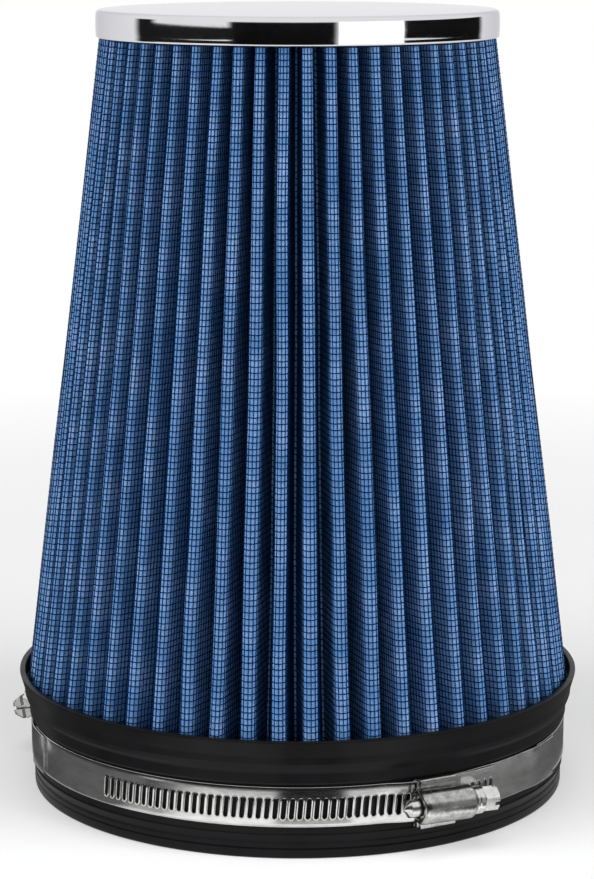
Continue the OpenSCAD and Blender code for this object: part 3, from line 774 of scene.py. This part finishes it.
def build_housing(name, turn, lean, replaced):
    half, wall = HOUSING_L / 2, HOUSING_L / 2 - PLATE_T
    corner_r, corner_x = SHELL_R - SHELL_END_R, HOUSING_L / 2 - SHELL_END_R
    profile = np.concatenate([
        [[-half, 3.5]],
        arc(-corner_x, corner_r, SHELL_END_R, 180, 90, 6),
        [[-6.5, SHELL_R], [0, SHELL_R], [6.5, SHELL_R]],
        arc(corner_x, corner_r, SHELL_END_R, 90, 0, 6),
        [[half, 3.18], [wall, 3.18], [wall, SHELL_IN_R], [-wall, SHELL_IN_R], [-wall, 3.5]],
    ])
    deep = WORM_Y - SKIRT_Y
    steps = 48
    rows = []
    for x, r in profile:
        low = math.acos(min(1.0, deep / r)) if r > deep else 0.0
        a = np.linspace(low, 2 * math.pi - low, steps + 1)
        rows.append(np.column_stack([np.full(steps + 1, x), r * np.cos(a), r * np.sin(a)]))
    grid = np.concatenate(rows)
    faces = grid_faces(len(rows), steps + 1, wrap_rows=True)
    parts = [(local(grid, turn, lean, WORM_Y), faces)]
    for side in (1, -1):
        inner = side * (math.sqrt(SHELL_R ** 2 - (deep - 0.2) ** 2) - 0.45)
        outer = side * FLANGE_HALF_W
        ys = (-SKIRT_Y, -SKIRT_Y - PLATE_T)
        sec = rounded([(ys[0], inner), (ys[1], inner), (ys[1], outer), (ys[0], outer)], [0, 0, 0.18, 0.18], 3)
        if side < 0:
            sec = sec[::-1]
        v, f = swept(sec, [-FLANGE_L / 2, -FLANGE_L / 2 + 0.15, FLANGE_L / 2 - 0.15, FLANGE_L / 2])
        parts.append((local(v, turn), f))
    verts, faces = merge(parts)
    make(name, verts, faces, slot="plated_steel", replaces=[replaced], material=plated, sharp=40)


def build_saddle(name, turn, replaced):
    mm = MM_PER_TURN
    parts = []
    # curved plate under the strap
    a = np.radians(np.linspace(-(SADDLE_L / 2 + SADDLE_SHIFT) / mm, (SADDLE_L / 2 - SADDLE_SHIFT) / mm, 12)) \
        + math.radians(turn)
    low, high, w = STRAP_LOW_R, STRAP_LOW_R + PLATE_T, SADDLE_HALF_W - PLATE_T / 2
    section = rounded([(low, -w), (low, w), (high, w), (high, -w)], 0.1, 2)
    r, z = section[:, 0], HOUSING_Z + section[:, 1]
    rows = [np.column_stack([r * math.sin(v), -r * math.cos(v), z]) for v in a]
    n = len(section)
    faces = grid_faces(len(rows), n, wrap_cols=True, flip=True).tolist()
    faces += [list(range(n)), [(len(rows) - 1) * n + k for k in reversed(range(n))]]
    parts.append((np.concatenate(rows), faces))
    # cheek with its tab folded over the flange
    half_l = SADDLE_L / 2 - 0.5
    top, foot = TAB_Y + PLATE_T, STRAP_LOW_R + 0.15
    inner = SADDLE_HALF_W - PLATE_T
    for side in (1, -1):
        sec = rounded([(-foot, side * inner), (-TAB_Y, side * inner), (-TAB_Y, side * (SADDLE_HALF_W - TAB_W)),
                       (-top, side * (SADDLE_HALF_W - TAB_W)), (-top, side * SADDLE_HALF_W),
                       (-foot, side * SADDLE_HALF_W)], [0, 0.15, 0.12, 0.2, 0.75, 0], 4)
        if side > 0:
            sec = sec[::-1]
        xs = np.array([-half_l, -half_l + 0.12, half_l - 0.12, half_l]) - SADDLE_SHIFT
        v, f = swept(sec, xs)
        f = [face[::-1] for face in f]
        parts.append((local(v, turn), f))
    verts, faces = merge(parts)
    make(name, verts, faces, slot="plated_steel", replaces=[replaced], material=plated, sharp=40)


def build_screw(name, turn, lean, body, replaced):
    tip_x = -HOUSING_L / 2 - TIP_L
    half_l = HOUSING_L / 2 - PLATE_T - COLLAR_GAP
    collar_x = HOUSING_L / 2 + COLLAR_GAP
    head_x = collar_x + COLLAR_L
    point_l, point_r, collar_r = 1.8, 2.6, 4.1
    profile = [(tip_x + point_l, point_r), (-half_l, point_r), (-half_l, ROOT_R)]
    for k in range(-WORM_TURNS, WORM_TURNS + 1):
        for r, d in ((ROOT_R, -0.57), (WORM_R, -0.25), (WORM_R, 0.25), (ROOT_R, 0.57)):
            profile.append((k * SLOT_PITCH + d, r))
    profile += [(half_l, ROOT_R), (half_l, 3.1), (collar_x, 3.1), (collar_x, 3.9), (collar_x + 0.2, collar_r),
                (collar_x + 0.9, collar_r), (collar_x + 1.1, 3.95), (collar_x + 1.3, collar_r),
                (head_x - 0.5, collar_r), (head_x - 0.1, 3.8), (head_x, 3.4)]
    steps = 48
    a = np.arange(steps) * 2 * math.pi / steps
    rows = [np.column_stack([np.full(steps, x), r * np.cos(a), r * np.sin(a)]) for x, r in profile]
    parts = [(np.concatenate(rows), grid_faces(len(rows), steps, wrap_cols=True))]
    # faceted tip: the cone ends in flats
    flats = 8
    b = np.arange(flats) * 2 * math.pi / flats + 0.55
    ring = np.column_stack([np.full(flats, tip_x + point_l), point_r * np.cos(b), point_r * np.sin(b)])
    small = np.column_stack([np.full(flats, tip_x + 0.15), 0.3 * np.cos(b), 0.3 * np.sin(b)])
    tip = np.concatenate([ring, small, [[tip_x, 0, 0]]])
    f = [[k, flats + k, flats + (k + 1) % flats, (k + 1) % flats] for k in range(flats)]
    f += [[flats + k, 2 * flats, flats + (k + 1) % flats] for k in range(flats)]
    f.append(list(range(flats)))
    parts.append((tip, f))
    parts.append(hexagon_head(head_x - 0.05, head_x + HEAD_L))
    verts, faces = merge(parts)
    make(name, local(verts, turn, lean, WORM_Y), faces, body=body, slot="screw_steel", replaces=[replaced],
         material=nickel, sharp=28)


def hexagon_head(x0, x1):
    """Hexagon head along x from x0 to x1, with a domed end and a cross cut into it."""
    turn = math.radians(HEAD_TURN)
    blank_mesh = bpy.data.meshes.new("head_blank")
    flats = HEAD_FLATS / 2
    corner = flats / math.cos(math.pi / 6)
    steps = 72
    a = np.arange(steps) * 2 * math.pi / steps
    hexa = flats / np.cos((a + math.pi / 6) % (math.pi / 3) - math.pi / 6)
    rows = []
    for x, limit in ((x0, corner), (x1 - 0.55, corner), (x1 - 0.25, 3.62), (x1, 3.15)):
        r = np.minimum(hexa, limit)
        rows.append(np.column_stack([np.full(steps, x), -r * np.cos(a + turn), -r * np.sin(a + turn)]))
    verts = np.concatenate(rows)
    faces = grid_faces(len(rows), steps, wrap_cols=True).tolist()
    faces.append(list(range(steps))[::-1])
    faces.append([(len(rows) - 1) * steps + k for k in range(steps)])
    blank_mesh.from_pydata((verts * MM).tolist(), [], faces)
    blank = bpy.data.objects.new("head_blank", blank_mesh)
    bpy.context.scene.collection.objects.link(blank)
    cutters = []
    for extra in (0, math.pi / 2):
        w, long, deep = 0.55, 6.0, 1.8
        box = np.array([(x, y, z) for x in (x1 - deep, x1 + 1) for y in (-long, long) for z in (-w, w)])
        ang = turn + extra
        rot = np.array([[1, 0, 0], [0, math.cos(ang), -math.sin(ang)], [0, math.sin(ang), math.cos(ang)]])
        box = box @ rot.T
        quads = [[0, 1, 3, 2], [4, 6, 7, 5], [0, 4, 5, 1], [2, 3, 7, 6], [0, 2, 6, 4], [1, 5, 7, 3]]
        cut_mesh = bpy.data.meshes.new("head_cut")
        cut_mesh.from_pydata((box * MM).tolist(), [], quads)
        cut = bpy.data.objects.new("head_cut", cut_mesh)
        bpy.context.scene.collection.objects.link(cut)
        mod = blank.modifiers.new("cut", "BOOLEAN")
        mod.operation = "DIFFERENCE"
        mod.solver = "EXACT"
        mod.object = cut
        cutters.append(cut)
    bpy.context.view_layer.update()
    shaped = bpy.data.meshes.new_from_object(blank.evaluated_get(bpy.context.evaluated_depsgraph_get()))
    out_v = np.array([v.co[:] for v in shaped.vertices]) / MM
    out_f = [list(p.vertices) for p in shaped.polygons]
    for o in cutters + [blank]:
        bpy.data.objects.remove(o, do_unlink=True)
    return out_v, out_f


build_cloth()
build_wires()
build_cap()
build_base()
front_start = REAR_TURN + REAR_STRAP_TURN - LAP_TURN
rear_start = FRONT_TURN + FRONT_STRAP_TURN - LAP_TURN
build_band("slotted_band_front", front_start, FRONT_TURN, "band_front")
build_band("slotted_band_rear", rear_start, REAR_TURN + 360, "band_rear")
build_strap("plain_strap_front", FRONT_TURN, FRONT_STRAP_TURN, "strap_front")
build_strap("plain_strap_rear", REAR_TURN, REAR_STRAP_TURN, "strap_rear")
build_saddle("folded_saddle_front", FRONT_TURN, "saddle_front")
build_saddle("folded_saddle_rear", REAR_TURN, "saddle_rear")
build_housing("worm_housing_front", FRONT_TURN, FRONT_LEAN, "housing_front")
build_housing("worm_housing_rear", REAR_TURN, REAR_LEAN, "housing_rear")
build_screw("worm_screw_front", FRONT_TURN, FRONT_LEAN, "front_screw", "screw_front")
build_screw("worm_screw_rear", REAR_TURN, REAR_LEAN, "rear_screw", "screw_rear")

for name, mat in (("inner_screen", inner_screen_material()), ("top_potting", potting_material())):
    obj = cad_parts[name]
    if obj.material_slots:
        obj.material_slots[0].material = mat
    else:
        obj.data.materials.append(mat)


# Floor, light and camera
def stage_mesh(name, points, quads, mat):
    """Part of the studio, from points in metres."""
    mesh = bpy.data.meshes.new(name)
    mesh.from_pydata(points, [], quads)
    mesh.materials.append(mat)
    obj = bpy.data.objects.new(name, mesh)
    bpy.context.scene.collection.objects.link(obj)
    return obj


def seen_directly(tree):
    """1 for rays from the camera, straight or off a mirror; 0 for the light that surfaces get."""
    path = tree.nodes.new("ShaderNodeLightPath")
    mirrored = math_node(tree, "MAXIMUM", path.outputs["Is Glossy Ray"], path.outputs["Is Transmission Ray"])
    return math_node(tree, "MAXIMUM", path.outputs["Is Camera Ray"], mirrored)


def floor_material():
    """Pale floor: lit and shadowed near the object, plain white further away."""
    mat, t, s = material("pale_floor")
    s.inputs["Roughness"].default_value = 0.8
    s.inputs["Specular IOR Level"].default_value = 0.1
    drive(t, s, "Base Color", noise(t, coords(t), 0.01, 2), [(0.3, 0.845), (0.7, 0.865)])
    emit = node(t, "ShaderNodeEmission", Strength=1.0)
    emit.inputs["Color"].default_value = (1, 1, 1, 1)
    tex = t.nodes.new("ShaderNodeTexCoord")
    length = t.nodes.new("ShaderNodeVectorMath")
    length.operation = "LENGTH"
    link(t, tex.outputs["Object"], length.inputs[0])
    far = ramp(t, math_node(t, "MULTIPLY", length.outputs["Value"], 0.5), [(0.05, 0.25), (0.35, 1.0)])
    show(t, math_node(t, "MULTIPLY", far, seen_directly(t)), s, emit)
    return mat


def fade(t, value, start, end):
    """0 at start to 1 at end, with soft shoulders."""
    f = node(t, "ShaderNodeMapRange", **{"From Min": start, "From Max": end, "To Min": 0.0, "To Max": 1.0})
    f.interpolation_type = "SMOOTHSTEP"
    link(t, value, f.inputs["Value"])
    return f.outputs["Result"]


def between(t, x, y, a0, a1, soft):
    """1 between the bearings a0 and a1, fading to 0 over soft degrees inside them."""
    middle, half = math.radians((a0 + a1) / 2), math.radians((a1 - a0) / 2)
    across = weighted(t, x, math.cos(middle), y, math.sin(middle))
    ahead = weighted(t, x, math.sin(middle), y, -math.cos(middle))
    off = math_node(t, "ABSOLUTE", math_node(t, "ARCTAN2", across, ahead))
    return fade(t, off, half, half - math.radians(soft))


def dark_material(grey, grain, spread, cover):
    """Matt grey that is there where cover(tree) is 1 and clear where it is 0."""
    mat, t, s = material("dark_card")
    stops = [(0.3, (1 - spread) * grey), (0.7, (1 + spread) * grey)]
    drive(t, s, "Base Color", noise(t, coords(t), grain, 2), stops)
    s.inputs["Roughness"].default_value = 0.9
    s.inputs["Specular IOR Level"].default_value = 0.0
    show(t, cover(t), t.nodes.new("ShaderNodeBsdfTransparent"), s)
    return mat


def light_material(strength):
    """Near-white glow."""
    mat = material("light_card")[0]
    t = mat.node_tree
    emit = node(t, "ShaderNodeEmission", Strength=strength)
    drive(t, emit, "Color", noise(t, coords(t), 0.01, 2), [(0.3, 0.98), (0.7, 1.0)])
    link(t, emit.outputs["Emission"], t.nodes["Material Output"].inputs["Surface"])
    return mat


def card(name, a0, a1, near, far, mat):
    """Strip between two bearings from the front, in metres; only reflections see it.

    near and far are its edges as (radius, height): a wall has two heights, a piece of floor two radii.
    """
    steps = max(2, int(abs(a1 - a0) / 6))
    n = steps + 1
    a = np.radians(np.linspace(a0, a1, n))
    points = [(r * math.sin(v), -r * math.cos(v), z) for r, z in (near, far) for v in a]
    obj = stage_mesh(name, points, [[k, k + 1, n + k + 1, n + k] for k in range(steps)], mat)
    obj.visible_camera = obj.visible_diffuse = obj.visible_shadow = False


def dark_wall(name, a0, a1, radius, z0, z1, soft, soft_z, grey=0.012):
    """Dark wall, soft at its sides and its top."""
    def cover(t):
        x, y, z = separate(t)
        return math_node(t, "MULTIPLY", fade(t, z, z1, z1 - soft_z), between(t, x, y, a0, a1, soft))

    card(name, a0, a1, (radius, z0), (radius, z1), dark_material(grey, 0.01, 0.15, cover))


def dark_floor(name, a0, a1, r0, r1, z, fade0, fade1, soft, grey):
    """Dark patch over the floor that only reflections see, a painted dark reflection, soft at its sides, that
    comes in between the radii fade0 and fade1.
    """
    def cover(t):
        x, y = separate(t)[:2]
        return math_node(t, "MULTIPLY", between(t, x, y, a0, a1, soft),
                         fade(t, distance_from_axis(t, x, y), fade0, fade1))

    card(name, a0, a1, (r0, z), (r1, z), dark_material(grey, 0.02, 0.2, cover))


stage_mesh("floor", [(-8, -0.78, 0), (8, -0.78, 0), (8, 14, 0), (-8, 14, 0)], [[0, 1, 2, 3]], floor_material())

# Dark studio walls that the cap mirrors, then low ones round the neck that put painted dark reflections into
# the rubber and the clamp; only reflections see any of them
dark_wall("card_front", -40, 24, 1.6, -0.4, 0.46, 5, 0.06)
dark_wall("card_right", 56, 128, 1.6, -0.4, 0.46, 7, 0.06)
dark_wall("card_left", -96, -30, 1.0, 0.066, 0.26, 5, 0.015)
dark_wall("card_left_end", -103, -82, 1.0, 0.001, 0.4, 7, 0.1)
dark_wall("card_low_front", -96, 46, 0.16, 0.007, 0.066, 8, 0.010, 0.02)
dark_wall("card_low_right", 38, 84, 0.16, 0.001, 0.058, 8, 0.02, 0.30)
dark_wall("card_low_rear", 76, 276, 0.160, -0.004, 0.016, 8, 0.004, 0.08)
dark_wall("card_low_left", -140, -46, 0.157, -0.004, 0.014, 8, 0.004, 0.08)
# Painted reflections over the floor that only the clamp's bands mirror: a glowing patch in front, dark patches
# to the sides and one in the middle
dark_floor("card_floor_sides", 26, 334, 0.100, 0.156, 0.0008, 0.104, 0.116, 14, 0.08)
card("card_floor_front", -36, 40, (0.100, 0.0006), (0.158, 0.0006), light_material(1.5))
dark_floor("card_floor_left", -160, -42, 0.086, 0.158, 0.0010, 0.088, 0.096, 8, 0.16)
dark_floor("card_floor_right", 46, 160, 0.086, 0.158, 0.0010, 0.088, 0.096, 8, 0.24)
dark_floor("card_floor_far", -46, 46, 0.120, 0.210, 0.0009, 0.128, 0.150, 6, 0.30)
dark_floor("card_floor_middle", -7, 15, 0.100, 0.210, 0.0012, 0.106, 0.116, 2, 0.01)
# Glowing cards that only reflections see, painted highlights: the bright strip in the cap, and the rear screw's
# head
card("card_bright_right", 22, 60, (1.0, -0.3), (1.0, 0.4), light_material(1.5))
card("card_head_left", -92, -87, (0.110, 0.003), (0.110, 0.015), light_material(0.8))


def softbox(name, bearing, distance, centre_z, width, height, power):
    """Area lamp aimed at the middle of the object, and unseen in reflections."""
    lamp = bpy.data.lights.new(name, "AREA")
    lamp.shape = "RECTANGLE"
    lamp.size, lamp.size_y = width, height
    lamp.energy = power
    obj = bpy.data.objects.new(name, lamp)
    bpy.context.scene.collection.objects.link(obj)
    a = math.radians(bearing)
    obj.location = (distance * math.sin(a), -distance * math.cos(a), centre_z)
    target = np.array([0, 0, 0.12])
    obj.rotation_euler = Vector(target - np.array(obj.location)).to_track_quat("-Z", "Y").to_euler()
    obj.visible_glossy = False


softbox("softbox_left", -62, 1.15, 0.50, 0.8, 0.9, 15.5)
softbox("softbox_right", 60, 1.15, 0.50, 0.8, 0.9, 15.5)
softbox("softbox_top", 0, 0.42, 1.50, 1.1, 0.8, 8.0)
softbox("softbox_camera", 0, 1.3, 0.35, 0.7, 0.5, 3.0)

world = bpy.data.worlds.new("studio")
bpy.context.scene.world = world
world.use_nodes = True
wt = world.node_tree
wt.nodes.clear()
wt.nodes.new("ShaderNodeOutputWorld").name = "World Output"
seen_bg = node(wt, "ShaderNodeBackground", Strength=1.0)
seen_bg.inputs["Color"].default_value = (1, 1, 1, 1)
lit_bg = node(wt, "ShaderNodeBackground", Strength=0.14)
lit_bg.inputs["Color"].default_value = (1, 1, 1, 1)
show(wt, seen_directly(wt), lit_bg, seen_bg, "World Output")

# Camera fitted to the photo: the focal length and the sideways shift are in pixels of its height
FOCAL_PX, SHIFT_PX, IMAGE_H_PX, SENSOR_MM = 2798.7, -0.6, 879.0, 36.0
CAMERA_BACK, CAMERA_UP, CAMERA_DOWN = 0.8434, 0.2704, 11.021
camera_data = bpy.data.cameras.new("camera")
camera_data.sensor_width = SENSOR_MM
camera_data.lens = FOCAL_PX * SENSOR_MM / IMAGE_H_PX
camera_data.shift_x = SHIFT_PX / IMAGE_H_PX
camera_data.clip_start, camera_data.clip_end = 0.01, 50.0
camera = bpy.data.objects.new("camera", camera_data)
camera.location = (0.0, -CAMERA_BACK, CAMERA_UP)
camera.rotation_euler = (math.radians(90 - CAMERA_DOWN), 0, 0)
bpy.context.scene.collection.objects.link(camera)
bpy.context.scene.camera = camera
bpy.context.scene.view_settings.view_transform = "Standard"
